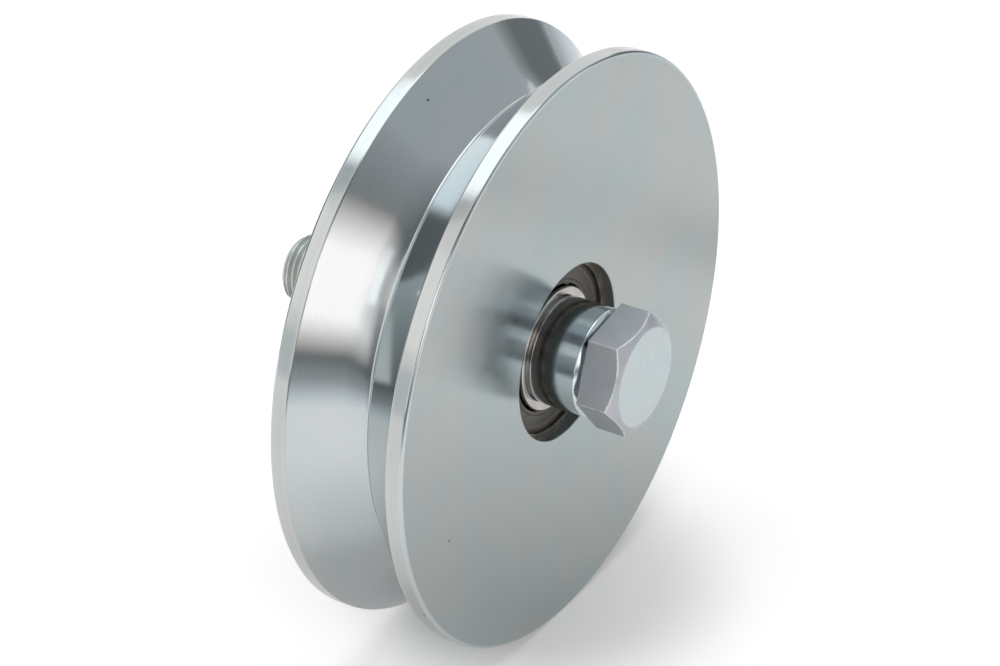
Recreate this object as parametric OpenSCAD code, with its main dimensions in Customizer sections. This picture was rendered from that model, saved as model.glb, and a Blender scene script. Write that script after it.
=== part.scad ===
// V-groove gate wheel: a turned steel wheel on two sealed ball bearings,
// carried by a pair of shouldered bushes on a hexagon-head axle bolt.
// The origin is the wheel's centre. +Y runs along the axle from the bolt's
// head to its threaded end, and +Z is up. Lengths are in millimetres.

/* [Wheel] */
// Outside diameter of the wheel
wheel_d = 140; // [120:1:180]
// Width of the V groove at the rim
groove_w = 26; // [18:0.5:29]
// Angle between the flanks of the V groove
groove_angle = 90; // [80:1:110]
// Radius at the bottom of the V groove
groove_root_r = 1; // [0.5:0.1:2]
// Chamfer on the rim's two outer edges
rim_chamfer = 0.5; // [0.2:0.1:1]
// Chamfer at the two mouths of the hub's bore
mouth_chamfer = 0.4; // [0.2:0.1:0.8]
// Thickness of the lip that the front bearing stops against
lip_t = 3; // [2:0.1:6]
// Radial height of the lip over the bearing's seat
lip_h = 2.6; // [1.5:0.1:3]
// Wall left between the circlip's groove and the rear face
rear_land = 1.15; // [1:0.05:4]

/* [Bearings] */
// Bore of each bearing
bearing_bore = 20; // [18:0.5:22]
// Outside diameter of each bearing
bearing_od = 47; // [44:0.5:50]
// Width of each bearing
bearing_w = 14; // [13:0.5:18]
// Radial thickness of the inner ring's shoulders
inner_ring_t = 4.7; // [4.2:0.1:5]
// Radial thickness of the outer ring's shoulders
outer_ring_t = 4.4; // [4:0.1:4.8]
// Corner chamfer of the bearing rings
ring_chamfer = 0.8; // [0.3:0.1:1]
// Diameter of the balls
ball_d = 7.938; // [7.4:0.001:8.4]
// Number of balls in each bearing
ball_count = 8; // [6:1:8]
// Play between a ball and the bottom of its race
ball_play = 0.15; // [0.05:0.01:0.2]

/* [Seals] */
// Depth of each seal below the face of its bearing
seal_recess = 1; // [0.6:0.1:1.2]
// Thickness of each seal
seal_t = 0.7; // [0.5:0.1:0.9]
// Wall of the outer ring around the seal
seal_wall = 3.4; // [2.8:0.1:3.6]
// Depth of the seal's groove in that wall
seal_groove = 0.35; // [0.2:0.05:0.6]
// Dark gap around the seal's plate
seal_relief = 0.25; // [0.15:0.05:0.5]
// Gap between a seal and the inner ring
seal_gap = 0.4; // [0.3:0.05:0.6]

/* [Cages] */
// Sheet thickness of the cage halves
cage_t = 0.6; // [0.4:0.1:0.8]
// Radial width of the cage halves
cage_w = 2.6; // [2:0.1:3]
// Gap between a ball and its pocket
pocket_gap = 0.12; // [0.05:0.01:0.2]
// Diameter of the cage rivets
rivet_d = 1.2; // [0.8:0.1:1.4]
// Diameter of the rivets' heads
rivet_head_d = 2; // [1.6:0.1:2.2]
// Height of the rivets' heads
rivet_head_h = 0.5; // [0.3:0.1:0.8]

/* [Circlip] */
// Thickness of the circlip
circlip_t = 1.75; // [1.2:0.05:2]
// Play of the circlip along its groove
circlip_play = 0.1; // [0.05:0.01:0.2]
// Depth of the circlip's groove
circlip_depth = 1.25; // [0.8:0.05:1.5]
// Radial width of the circlip opposite its gap
circlip_w = 4.2; // [3.4:0.1:5]
// How much narrower the circlip is at its gap
circlip_taper = 1.6; // [0.5:0.1:2]
// Radius of the circlip's two ears
ear_r = 2.6; // [2.2:0.1:3]
// Diameter of the plier hole in each ear
ear_hole_d = 2.5; // [2:0.1:3]
// Angle from the middle of the gap to each ear
ear_angle = 14; // [12:1:20]

/* [Bushes] */
// Height of the collar's shoulder over the bearing's bore
bush_shoulder = 2.7; // [1.5:0.1:3]
// Length of each collar outside its bearing
collar_len = 13.2; // [8:0.1:25]
// Chamfer at the outer end of each collar
collar_chamfer = 1.3; // [0.5:0.1:1.5]
// Chamfer at the inner end of each spigot
spigot_chamfer = 0.6; // [0.3:0.1:1]
// How far each spigot stops short of its bearing's far face
spigot_relief = 0.5; // [0.2:0.1:2]
// Radial clearance of the bolt in the bushes
bolt_clearance = 0.2; // [0.1:0.05:0.5]

/* [Axle bolt and nut] */
// Thread and shank diameter
bolt_d = 16; // [14:0.5:16]
// Pitch of the thread
thread_pitch = 1.5; // [1:0.25:2.5]
// Length of the bolt under its head
bolt_len = 83; // [80:1:130]
// Chamfer at the bolt's point
point_chamfer = 1.5; // [1:0.1:2]
// Width across the flats of the head and the nut
hex_af = 25.5; // [22:0.5:30]
// Height of the head with its washer face
head_h = 10; // [8:0.1:12]
// Height of the head's washer face
washer_face_h = 0.6; // [0.3:0.1:0.8]
// Height of the nut
nut_h = 13; // [10:0.1:16]
// Depth of the countersink at both ends of the nut's bore
nut_sink = 1; // [0.5:0.1:1.5]
// Width of the chamfered corner on each hexagon
hex_corner = 1.1; // [0.2:0.1:1.5]
// Slope of the hexagons' corner chamfers in degrees
hex_slope = 35; // [25:1:40]
// Turn of the head about the axle
head_turn = 9; // [0:1:60]
// Turn of the nut about the axle
nut_turn = 24; // [0:1:60]

/* [Fits] */
// Gap between pieces that are pressed or pushed together
fit_gap = 0.02; // [0.01:0.01:0.05]

/* [Hidden] */

// Smoothness of turned pieces, balls and small holes
turn_fn = 180;
ball_fn = 48;
hole_fn = 32;
// How far a cut reaches past the face that it opens
over = 1;

// Places along the axle
circlip_groove_w = circlip_t + circlip_play;
wheel_w = lip_t + 2 * bearing_w + circlip_groove_w + rear_land;
front_y = -wheel_w / 2;
rear_y = wheel_w / 2;
seat_y = front_y + lip_t;
front_mid = seat_y + bearing_w / 2;
rear_mid = front_mid + bearing_w;
circlip_y = seat_y + 2 * bearing_w;
head_y = seat_y - collar_len;
nut_y = circlip_y + collar_len;
point_y = head_y + bolt_len;

// Radii of the wheel
wheel_r = wheel_d / 2;
half_angle = groove_angle / 2;
groove_floor_r = wheel_r - groove_w / 2 / tan(half_angle);
root_centre_r = groove_floor_r + groove_root_r / sin(half_angle);
seat_r = bearing_od / 2 + fit_gap;
lip_r = seat_r - lip_h;
circlip_seat_r = seat_r + circlip_depth;

// Radii of the bearings
pitch_r = (bearing_bore + bearing_od) / 4;
race_r = ball_d / 2 + ball_play;
inner_land_r = bearing_bore / 2 + inner_ring_t;
outer_land_r = bearing_od / 2 - outer_ring_t;
seal_seat_r = bearing_od / 2 - seal_wall;
seal_groove_r = seal_seat_r + seal_groove;
seal_in_r = inner_land_r + seal_gap;
seal_step = seal_t / 6;
pocket_r = ball_d / 2 + pocket_gap;

// Radii of the bushes, the bolt and the nut
spigot_r = bearing_bore / 2 - fit_gap;
collar_r = bearing_bore / 2 + bush_shoulder;
bolt_r = bolt_d / 2;
bush_bore_r = bolt_r + bolt_clearance;
// The engaged threads of the bolt and the nut meet at the pitch diameter
engaged_r = bolt_r - 0.6495 * thread_pitch / 2;
hex_corner_r = hex_af / sqrt(3);
hex_top_r = hex_af / 2 - hex_corner;

// Turns a section of radius and length around the axle
module turned() {
    rotate([-90, 0, 0]) rotate_extrude($fn = turn_fn) children();
}

// Section of a ring with equal chamfers on its four corners
module chamfered_section(r_in, r_out, y_from, y_to, chamfer) {
    polygon([
        [r_in + chamfer, y_from], [r_out - chamfer, y_from],
        [r_out, y_from + chamfer], [r_out, y_to - chamfer],
        [r_out - chamfer, y_to], [r_in + chamfer, y_to],
        [r_in, y_to - chamfer], [r_in, y_from + chamfer]
    ]);
}

// Section of a plain ring
module ring_section(r_in, r_out, y_from, y_to) {
    translate([r_in, y_from]) square([r_out - r_in, y_to - y_from]);
}

// Copies a piece to every step of the ball circle, turned by a share of a step
module around_balls(share) {
    step = 360 / ball_count;
    for (i = [0 : ball_count - 1])
        rotate([0, (i + share) * step, 0]) translate([pitch_r, 0, 0]) children();
}

// V groove with flanks that run tangent into the root's radius
module groove_section() {
    tangent_r = root_centre_r - groove_root_r * sin(half_angle);
    tangent_y = groove_root_r * cos(half_angle);
    mouth_r = wheel_r + over;
    mouth_y = (mouth_r - groove_floor_r) * tan(half_angle);
    polygon([
        [tangent_r, -tangent_y], [mouth_r, -mouth_y],
        [mouth_r, mouth_y], [tangent_r, tangent_y]
    ]);
    translate([root_centre_r, 0]) circle(r = groove_root_r, $fn = ball_fn);
}

// Stepped bore: lip, bearing seat, circlip groove and rear mouth
module bore_section() {
    polygon([
        [0, front_y - over], [lip_r + mouth_chamfer + over, front_y - over],
        [lip_r, front_y + mouth_chamfer], [lip_r, seat_y],
        [seat_r, seat_y], [seat_r, circlip_y],
        [circlip_seat_r, circlip_y], [circlip_seat_r, circlip_y + circlip_groove_w],
        [seat_r, circlip_y + circlip_groove_w], [seat_r, rear_y - mouth_chamfer],
        [seat_r + mouth_chamfer + over, rear_y + over], [0, rear_y + over]
    ]);
}

module wheel() {
    color([0.78, 0.81, 0.83]) turned() difference() {
        polygon([
            [0, front_y], [wheel_r - rim_chamfer, front_y],
            [wheel_r, front_y + rim_chamfer], [wheel_r, rear_y - rim_chamfer],
            [wheel_r - rim_chamfer, rear_y], [0, rear_y]
        ]);
        groove_section();
        bore_section();
    }
}

// Flat spring ring, widest opposite its gap, with two ears for pliers
module circlip() {
    ring_r = circlip_seat_r - fit_gap;
    bore_r = ring_r - circlip_w + circlip_taper / 2;
    ear_place_r = ring_r - ear_r - circlip_play;
    reach = 2 * ring_r;
    color([0.23, 0.23, 0.24]) translate([0, circlip_y, 0]) rotate([-90, 0, 0])
        linear_extrude(circlip_t) difference() {
            union() {
                difference() {
                    circle(r = ring_r, $fn = turn_fn);
                    translate([0, circlip_taper / 2]) circle(r = bore_r, $fn = turn_fn);
                    polygon([
                        [0, 0], [-reach * sin(ear_angle), reach * cos(ear_angle)],
                        [reach * sin(ear_angle), reach * cos(ear_angle)]
                    ]);
                }
                for (side = [-1, 1])
                    rotate(side * ear_angle) translate([0, ear_place_r])
                        circle(r = ear_r, $fn = ball_fn);
            }
            for (side = [-1, 1])
                rotate(side * ear_angle) translate([0, ear_place_r])
                    circle(d = ear_hole_d, $fn = hole_fn);
        }
}

// Shouldered bush with its collar from y 0 to -collar_len and its spigot in +Y
module bush() {
    spigot_len = bearing_w - spigot_relief;
    color([0.74, 0.78, 0.81]) turned() polygon([
        [bush_bore_r, -collar_len], [collar_r - collar_chamfer, -collar_len],
        [collar_r, collar_chamfer - collar_len], [collar_r, 0],
        [spigot_r, 0], [spigot_r, spigot_len - spigot_chamfer],
        [spigot_r - spigot_chamfer, spigot_len], [bush_bore_r, spigot_len]
    ]);
}

module front_bush() {
    translate([0, seat_y, 0]) bush();
}

module rear_bush() {
    translate([0, circlip_y, 0]) mirror([0, 1, 0]) bush();
}

// Hexagon with a flat ring face and sloping corners at y_to, and at y_from too
// where both is true
module hexagon(y_from, y_to, turn, both) {
    corner_drop = (hex_corner_r + over - hex_top_r) * tan(hex_slope);
    first = both ? [[hex_top_r, y_from], [hex_corner_r + over, y_from + corner_drop]]
                 : [[hex_corner_r + over, y_from]];
    intersection() {
        translate([0, y_from, 0]) rotate([-90, -turn, 0])
            cylinder(r = hex_corner_r, h = y_to - y_from, $fn = 6);
        turned() polygon(concat(
            [[0, y_from]], first,
            [[hex_corner_r + over, y_to - corner_drop], [hex_top_r, y_to], [0, y_to]]
        ));
    }
}

module axle_bolt() {
    shank_end = nut_y;
    free_end = nut_y + nut_h;
    color([0.70, 0.73, 0.77]) {
        mirror([0, 1, 0])
            hexagon(washer_face_h - head_y, head_h - head_y, head_turn, false);
        turned() polygon([
            [0, head_y - washer_face_h], [hex_top_r, head_y - washer_face_h],
            [hex_top_r, head_y], [bolt_r, head_y], [bolt_r, shank_end],
            [engaged_r, shank_end], [engaged_r, free_end], [bolt_r, free_end],
            [bolt_r, point_y - point_chamfer], [bolt_r - point_chamfer, point_y],
            [0, point_y]
        ]);
    }
}

module axle_nut() {
    bore_r = engaged_r + fit_gap;
    end_y = nut_y + nut_h;
    color([0.72, 0.75, 0.78]) difference() {
        hexagon(nut_y, end_y, nut_turn, true);
        turned() polygon([
            [0, nut_y - over], [bore_r + nut_sink + over, nut_y - over],
            [bore_r, nut_y + nut_sink], [bore_r, end_y - nut_sink],
            [bore_r + nut_sink + over, end_y + over], [0, end_y + over]
        ]);
    }
}

// Bearing pieces, with the middle of the bearing at y 0
module outer_ring() {
    face = bearing_w / 2;
    groove_top = face - seal_recess - seal_step;
    groove_floor = face - seal_recess - seal_t + seal_step;
    shelf = face - seal_recess - seal_t;
    color([0.66, 0.64, 0.60]) turned() difference() {
        chamfered_section(outer_land_r - ring_chamfer, bearing_od / 2, -face, face, ring_chamfer);
        ring_section(0, outer_land_r, -bearing_w, bearing_w);
        translate([pitch_r, 0]) circle(r = race_r, $fn = turn_fn);
        for (side = [0, 1]) mirror([0, side]) {
            ring_section(0, seal_seat_r, shelf, bearing_w);
            ring_section(0, seal_groove_r, groove_floor, groove_top);
        }
    }
}

module inner_ring() {
    face = bearing_w / 2;
    color([0.84, 0.83, 0.80]) turned() difference() {
        chamfered_section(bearing_bore / 2, inner_land_r, -face, face, ring_chamfer / 2);
        translate([pitch_r, 0]) circle(r = race_r, $fn = turn_fn);
    }
}

module balls() {
    color([0.80, 0.80, 0.81]) around_balls(0) sphere(d = ball_d, $fn = ball_fn);
}

// Round pocket across the cage's ribbon, on the radius of its ball
module pocket(r) {
    rotate([0, 90, 0]) cylinder(r = r, h = 2 * cage_w, center = true, $fn = ball_fn);
}

// One pressed cage half, with its flat bridges on y 0 and its pockets in +Y
module cage_half() {
    reach = pocket_r + cage_t;
    color([0.72, 0.68, 0.58]) difference() {
        intersection() {
            union() {
                turned() ring_section(pitch_r - cage_w, pitch_r + cage_w, 0, cage_t);
                around_balls(0) pocket(reach);
            }
            turned() ring_section(pitch_r - cage_w / 2, pitch_r + cage_w / 2, 0, reach + over);
        }
        around_balls(0) pocket(pocket_r);
        around_balls(0.5) rotate([-90, 0, 0])
            cylinder(d = rivet_d + 2 * fit_gap, h = 4 * cage_t, center = true, $fn = hole_fn);
    }
}

module rivets() {
    head_from = cage_t;
    head_to = cage_t + rivet_head_h;
    color([0.62, 0.58, 0.50]) around_balls(0.5) rotate([-90, 0, 0]) {
        cylinder(d = rivet_d, h = 2 * head_to, center = true, $fn = hole_fn);
        for (side = [0, 1]) mirror([0, 0, side]) translate([0, 0, head_from])
            cylinder(d = rivet_head_d, h = head_to - head_from, $fn = hole_fn);
    }
}

// Seal on the -Y side: a flat plate with a bead snapped into the ring's groove
module seal() {
    plate_r = seal_seat_r - seal_relief;
    top = seal_recess - bearing_w / 2;
    bead_from = top + seal_step + fit_gap;
    bead_to = top + seal_t - seal_step - fit_gap;
    bead_r = seal_groove_r - fit_gap;
    color([0.20, 0.18, 0.16]) turned() {
        ring_section(seal_in_r, plate_r, top, top + seal_t);
        ring_section(plate_r, bead_r, bead_from, bead_to);
    }
}

module at_front() {
    translate([0, front_mid, 0]) children();
}

module at_rear() {
    translate([0, rear_mid, 0]) mirror([0, 1, 0]) children();
}

module front_outer_ring() { at_front() outer_ring(); }
module front_inner_ring() { at_front() inner_ring(); }
module front_balls() { at_front() balls(); }
module front_cage_outer() { at_front() mirror([0, 1, 0]) cage_half(); }
module front_cage_inner() { at_front() cage_half(); }
module front_cage_rivets() { at_front() rivets(); }
module front_outer_seal() { at_front() seal(); }
module front_inner_seal() { at_front() mirror([0, 1, 0]) seal(); }

module rear_outer_ring() { at_rear() outer_ring(); }
module rear_inner_ring() { at_rear() inner_ring(); }
module rear_balls() { at_rear() balls(); }
module rear_cage_outer() { at_rear() mirror([0, 1, 0]) cage_half(); }
module rear_cage_inner() { at_rear() cage_half(); }
module rear_cage_rivets() { at_rear() rivets(); }
module rear_outer_seal() { at_rear() seal(); }
module rear_inner_seal() { at_rear() mirror([0, 1, 0]) seal(); }

wheel();
circlip();
front_bush();
rear_bush();
axle_bolt();
axle_nut();
front_outer_ring();
front_inner_ring();
front_balls();
front_cage_outer();
front_cage_inner();
front_cage_rivets();
front_outer_seal();
front_inner_seal();
rear_outer_ring();
rear_inner_ring();
rear_balls();
rear_cage_outer();
rear_cage_inner();
rear_cage_rivets();
rear_outer_seal();
rear_inner_seal();
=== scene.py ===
"""Looks of a v-groove gate wheel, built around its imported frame.

Turned pieces are spun from rounded sections, the axle bolt gets its thread, and every surface gets a finish
made from nodes. Each piece rides the body that carries it. Lengths are in metres.
"""

import logging
import math
from collections.abc import Callable, Iterable, Sequence
from dataclasses import dataclass, field, replace
from enum import Enum

import bmesh
import bpy
from bmesh.types import BMEdge, BMesh, BMFace, BMVert
from mathutils import Matrix, Vector


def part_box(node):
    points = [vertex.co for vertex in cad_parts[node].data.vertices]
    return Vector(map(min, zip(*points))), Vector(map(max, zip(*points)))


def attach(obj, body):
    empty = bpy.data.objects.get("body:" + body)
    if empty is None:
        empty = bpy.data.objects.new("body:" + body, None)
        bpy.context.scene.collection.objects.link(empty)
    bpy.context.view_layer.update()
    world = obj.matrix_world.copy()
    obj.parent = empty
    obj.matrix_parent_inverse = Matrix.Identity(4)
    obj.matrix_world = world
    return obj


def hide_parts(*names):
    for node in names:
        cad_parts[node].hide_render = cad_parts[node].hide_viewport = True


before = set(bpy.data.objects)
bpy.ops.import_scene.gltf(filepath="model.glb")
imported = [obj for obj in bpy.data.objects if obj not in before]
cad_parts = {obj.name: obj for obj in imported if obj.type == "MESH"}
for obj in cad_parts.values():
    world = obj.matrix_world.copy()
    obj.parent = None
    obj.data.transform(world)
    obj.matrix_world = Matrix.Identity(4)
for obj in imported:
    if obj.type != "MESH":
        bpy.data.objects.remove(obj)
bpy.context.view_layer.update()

LOG = logging.getLogger("gate_wheel")

MM = 0.001
ORIGIN = (0.0, 0.0, 0.0)
AXLE_AXIS = (0.0, 1.0, 0.0)
ACROSS_AXLE = (1.0, 0.0, 1.0)
ACROSS_FLOOR = (1.0, 1.0, 0.0)
FULL_TURN = 2.0 * math.pi
QUARTER_TURN = 0.25
SHARP_ANGLE = math.radians(38.0)
SHADING_WEIGHT = 80
MERGE_DISTANCE = 1e-7
LOOSE_DISTANCE = 1e-6
NOISE_RANGE = (0.3, 0.7)
CARD_CELLS = 3
SHADE = "shade"
COOL_GREY = (0.95, 1.0, 1.04)
WARM_WHITE = (1.1, 1.02, 1.0)
PLAIN_WHITE = (1.02, 1.01, 1.0)

Colour = tuple[float, float, float]
Point = tuple[float, float, float]
Around = Callable[[float], float]


class Side(Enum):
    """End of the axle that a piece belongs to, with its direction along the axle."""

    FRONT = -1
    REAR = 1

    @property
    def label(self) -> str:
        """Word that starts the names of this end's pieces."""
        return self.name.lower()


class Body(Enum):
    """Bodies of the frame that pieces ride on."""

    AXLE = "axle"
    WHEEL = "wheel"


class NodeSheet:
    """Node tree of one material, with short ways to add and join nodes."""

    def __init__(self, name: str) -> None:
        """Starts an empty tree with a shader on its output.

        Args:
            name: Name of the material.
        """
        self.material = bpy.data.materials.new(name)
        self.material.use_nodes = True
        self.tree = self.material.node_tree
        self.tree.nodes.clear()
        self.shader = self.add("ShaderNodeBsdfPrincipled")
        output = self.add("ShaderNodeOutputMaterial")
        self.join(self.shader.outputs["BSDF"], output.inputs["Surface"])
        place = self.add("ShaderNodeTexCoord")
        self.place = place.outputs["Object"]

    def add(self, kind: str, **settings: object) -> bpy.types.Node:
        """Adds a node and sets its properties.

        Args:
            kind: Blender's name for the node.
            settings: Properties of the node.

        Returns:
            The new node.
        """
        node = self.tree.nodes.new(kind)
        for key, value in settings.items():
            setattr(node, key, value)
        return node

    def join(self, source: bpy.types.NodeSocket, target: bpy.types.NodeSocket) -> None:
        """Links an output to an input."""
        self.tree.links.new(source, target)

    def feed(self, target: bpy.types.NodeSocket, value: object) -> None:
        """Links a socket to an input, or sets the input to a plain value.

        Args:
            target: Input that takes the value.
            value: An output socket, a number, a colour or a vector.
        """
        if isinstance(value, bpy.types.NodeSocket):
            self.join(value, target)
        else:
            target.default_value = value

    def shade(self, name: str, value: object) -> None:
        """Feeds one of the shader's inputs."""
        self.feed(self.shader.inputs[name], value)

    def math(self, operation: str, *values: object) -> bpy.types.NodeSocket:
        """Result of a Math node on up to three values."""
        node = self.add("ShaderNodeMath", operation=operation)
        for socket, value in zip(node.inputs, values):
            self.feed(socket, value)
        return node.outputs[0]

    def noise(self, scale: float, detail: float, grain: float = 0.5) -> bpy.types.NodeSocket:
        """Cloudy noise over the piece's own space.

        Args:
            scale: Features in a metre.
            detail: Octaves of finer noise.
            grain: Share of each finer octave.

        Returns:
            The noise's value, from 0 to 1.
        """
        node = self.add("ShaderNodeTexNoise", noise_dimensions="3D")
        self.join(self.place, node.inputs["Vector"])
        node.inputs["Scale"].default_value = scale
        node.inputs["Detail"].default_value = detail
        node.inputs["Roughness"].default_value = grain
        return node.outputs["Fac"]

    def vector(self, operation: str, *values: object) -> bpy.types.Node:
        """Vector Math node on up to three values."""
        node = self.add("ShaderNodeVectorMath", operation=operation)
        for socket, value in zip(node.inputs, values):
            self.feed(socket, value)
        return node

    def across_axle(self) -> bpy.types.NodeSocket:
        """Place of the shaded point, flattened along the axle."""
        return self.vector("MULTIPLY", self.place, ACROSS_AXLE).outputs["Vector"]

    def axle_radius(self) -> bpy.types.NodeSocket:
        """Distance of the shaded point from the axle."""
        return self.vector("LENGTH", self.across_axle()).outputs["Value"]

    def away_from(self, point: Point) -> bpy.types.NodeSocket:
        """Distance of the shaded point from a point."""
        return self.vector("DISTANCE", self.place, point).outputs["Value"]

    def tool_lines(self, pitch: float, lean: float = 0.37) -> bpy.types.NodeSocket:
        """Uneven lines around the axle, as a lathe tool leaves them.

        Args:
            pitch: Distance between lines.
            lean: Share of the axle's direction, so that lines show on faces, cones and cylinders.

        Returns:
            The lines' value, from 0 to 1.
        """
        split = self.add("ShaderNodeSeparateXYZ")
        self.join(self.place, split.inputs["Vector"])
        across = self.math("MULTIPLY_ADD", split.outputs["Y"], lean, self.axle_radius())
        node = self.add("ShaderNodeTexNoise", noise_dimensions="1D")
        self.join(self.math("DIVIDE", across, pitch), node.inputs["W"])
        node.inputs["Scale"].default_value = 1.0
        node.inputs["Detail"].default_value = 3.0
        return node.outputs["Fac"]

    def ramp(self, value: bpy.types.NodeSocket, source: tuple[float, float],
             target: tuple[float, float]) -> bpy.types.NodeSocket:
        """Maps a value smoothly from one range to another.

        Args:
            value: The value.
            source: Range of the value.
            target: Range of the result.

        Returns:
            The result, held at the target's ends outside the source range.
        """
        node = self.add("ShaderNodeMapRange", interpolation_type="SMOOTHSTEP")
        for key, setting in zip(("From Min", "From Max", "To Min", "To Max"), (*source, *target)):
            node.inputs[key].default_value = setting
        self.join(value, node.inputs["Value"])
        return node.outputs["Result"]

    def spread(self, value: bpy.types.NodeSocket, low: float, high: float) -> bpy.types.NodeSocket:
        """Maps noise, which mostly lies from 0.3 to 0.7, to a range."""
        return self.ramp(value, NOISE_RANGE, (low, high))

    def mix(self, share: object, first: object, second: object, blend: str = "MIX") -> bpy.types.NodeSocket:
        """Mix of two colours.

        Args:
            share: How much of the second colour shows.
            first: Colour or colour socket.
            second: Colour or colour socket.
            blend: Blender's name for the way of mixing.

        Returns:
            The mixed colour.
        """
        node = self.add("ShaderNodeMix", data_type="RGBA", blend_type=blend)
        self.feed(node.inputs[0], share)
        for socket, value in ((node.inputs[6], first), (node.inputs[7], second)):
            self.feed(socket, (*value, 1.0) if isinstance(value, tuple) else value)
        return node.outputs[2]

    def lean_outward(self, share: bpy.types.NodeSocket) -> bpy.types.NodeSocket:
        """The surface's normal, leant away from the axle.

        Args:
            share: How far it leans, as a share of its length.

        Returns:
            The leant normal.
        """
        outward = self.vector("NORMALIZE", self.across_axle())
        turned = self.add("ShaderNodeVectorTransform", vector_type="VECTOR",
                          convert_from="OBJECT", convert_to="WORLD")
        self.join(outward.outputs["Vector"], turned.inputs["Vector"])
        leant = self.vector("SCALE", turned.outputs["Vector"])
        self.join(share, leant.inputs["Scale"])
        surface = self.add("ShaderNodeNewGeometry")
        total = self.vector("ADD", surface.outputs["Normal"], leant.outputs["Vector"])
        return self.vector("NORMALIZE", total.outputs["Vector"]).outputs["Vector"]

    def bump(self, height: bpy.types.NodeSocket, depth: float,
             normal: bpy.types.NodeSocket | None = None) -> None:
        """Gives the shader a bump of a real depth.

        Args:
            height: Height of the surface, from 0 to 1.
            depth: Real height that 1 stands for.
            normal: Normal that the bump is laid over, where it isn't the surface's own.
        """
        node = self.add("ShaderNodeBump")
        node.inputs["Strength"].default_value = 1.0
        node.inputs["Distance"].default_value = depth
        self.join(height, node.inputs["Height"])
        if normal:
            self.join(normal, node.inputs["Normal"])
        self.shade("Normal", node.outputs["Normal"])

    def around_axle(self, anisotropy: float) -> None:
        """Stretches highlights across the turning lines by a share."""
        tangent = self.add("ShaderNodeTangent", direction_type="RADIAL", axis="Y")
        self.shade("Tangent", tangent.outputs["Tangent"])
        self.shade("Anisotropic", anisotropy)
        self.shade("Anisotropic Rotation", QUARTER_TURN)


@dataclass(frozen=True)
class Finish:
    """Finish of a surface.

    Args:
        name: Name of the material.
    """

    name: str

    def material(self) -> bpy.types.Material:
        """The finish's material, made on first use."""
        return bpy.data.materials.get(self.name) or self._make()

    def _make(self) -> bpy.types.Material:
        """Builds the node tree, which each kind of finish does in its own way."""
        raise NotImplementedError


@dataclass(frozen=True)
class ZincFinish(Finish):
    """Bright zinc plating over turned or pressed steel.

    Args:
        cool: Colour of its bluish clouds.
        warm: Colour of its warmer clouds.
        roughness: Middle roughness.
        uneven: Shares of the roughness at its smoothest and its dullest.
        cloud: Size of a cloud of colour.
        line_pitch: Distance between turning lines.
        line_depth: Depth of the turning lines.
        line_shade: How much the lines change the colour.
        anisotropy: How far highlights stretch across the lines.
        metal: How metallic it is, where dull plating also scatters light.
        speck: Place of a dark speck of dirt.
        speck_radius: Size of the speck.
        speck_core: Share of that size that is fully dark.
        speck_shade: Share of the colour that is left in the speck.
        root_lean: How far the surface's normal leans outwards at the groove's root.
        lean_end: Radii between which the lean dies out.
    """

    cool: Colour
    warm: Colour
    roughness: float
    uneven: tuple[float, float] = (0.88, 1.12)
    cloud: float = 26.0 * MM
    line_pitch: float = 0.45 * MM
    line_depth: float = 0.0008 * MM
    line_shade: float = 0.015
    anisotropy: float = 0.0
    metal: float = 1.0
    speck: Point | None = None
    speck_radius: float = 0.45 * MM
    speck_core: float = 0.4
    speck_shade: float = 0.25
    root_lean: float = 0.0
    lean_end: tuple[float, float] = (57.0 * MM, 61.7 * MM)

    def _make(self) -> bpy.types.Material:
        """Builds clouds of colour, turning lines, a speck and the lean at the groove's root.

        Returns:
            The new material.
        """
        sheet = NodeSheet(self.name)
        clouds = sheet.spread(sheet.noise(1.0 / self.cloud, 2.0), 0.0, 1.0)
        lines = sheet.tool_lines(self.line_pitch)
        tint = sheet.mix(clouds, self.cool, self.warm)
        shade = sheet.spread(lines, 1.0 - self.line_shade, 1.0 + self.line_shade)
        tint = sheet.mix(1.0, tint, shade, "MULTIPLY")
        if self.speck:
            edge = (self.speck_core * self.speck_radius, self.speck_radius)
            near = sheet.ramp(sheet.away_from(self.speck), edge, (self.speck_shade, 1.0))
            tint = sheet.mix(1.0, tint, near, "MULTIPLY")
        sheet.shade("Base Color", tint)
        smear = sheet.noise(3.0 / self.cloud, 4.0, 0.6)
        sheet.shade("Roughness", sheet.spread(smear, *(self.roughness * share for share in self.uneven)))
        sheet.shade("Metallic", self.metal)
        normal = None
        if self.root_lean:
            lean = sheet.ramp(sheet.axle_radius(), self.lean_end, (self.root_lean, 0.0))
            normal = sheet.lean_outward(lean)
        sheet.bump(lines, self.line_depth, normal)
        if self.anisotropy:
            sheet.around_axle(self.anisotropy)
        return sheet.material


@dataclass(frozen=True)
class SteelFinish(Finish):
    """Bare, ground or oiled steel.

    Args:
        clean: Colour of clean steel.
        stained: Colour under the film of oil.
        roughness: Middle roughness.
        uneven: Shares of the roughness without and with the film.
        patches: Patches of the film in a metre.
        line_pitch: Distance between grinding lines.
        line_depth: Depth of the grinding lines.
        line_shade: Shares of the colour in and between the lines.
    """

    clean: Colour
    stained: Colour
    roughness: float
    uneven: tuple[float, float] = (0.8, 1.25)
    patches: float = 220.0
    line_pitch: float = 0.2 * MM
    line_depth: float = 0.0008 * MM
    line_shade: tuple[float, float] = (0.93, 1.05)

    def _make(self) -> bpy.types.Material:
        """Builds the film of oil and the grinding lines.

        Returns:
            The new material.
        """
        sheet = NodeSheet(self.name)
        film = sheet.spread(sheet.noise(self.patches, 3.0), 0.0, 1.0)
        lines = sheet.tool_lines(self.line_pitch)
        tint = sheet.mix(film, self.clean, self.stained)
        sheet.shade("Base Color", sheet.mix(1.0, tint, sheet.spread(lines, *self.line_shade), "MULTIPLY"))
        sheet.shade("Roughness", sheet.spread(film, *(self.roughness * share for share in self.uneven)))
        sheet.shade("Metallic", 1.0)
        sheet.bump(lines, self.line_depth)
        return sheet.material


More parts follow.
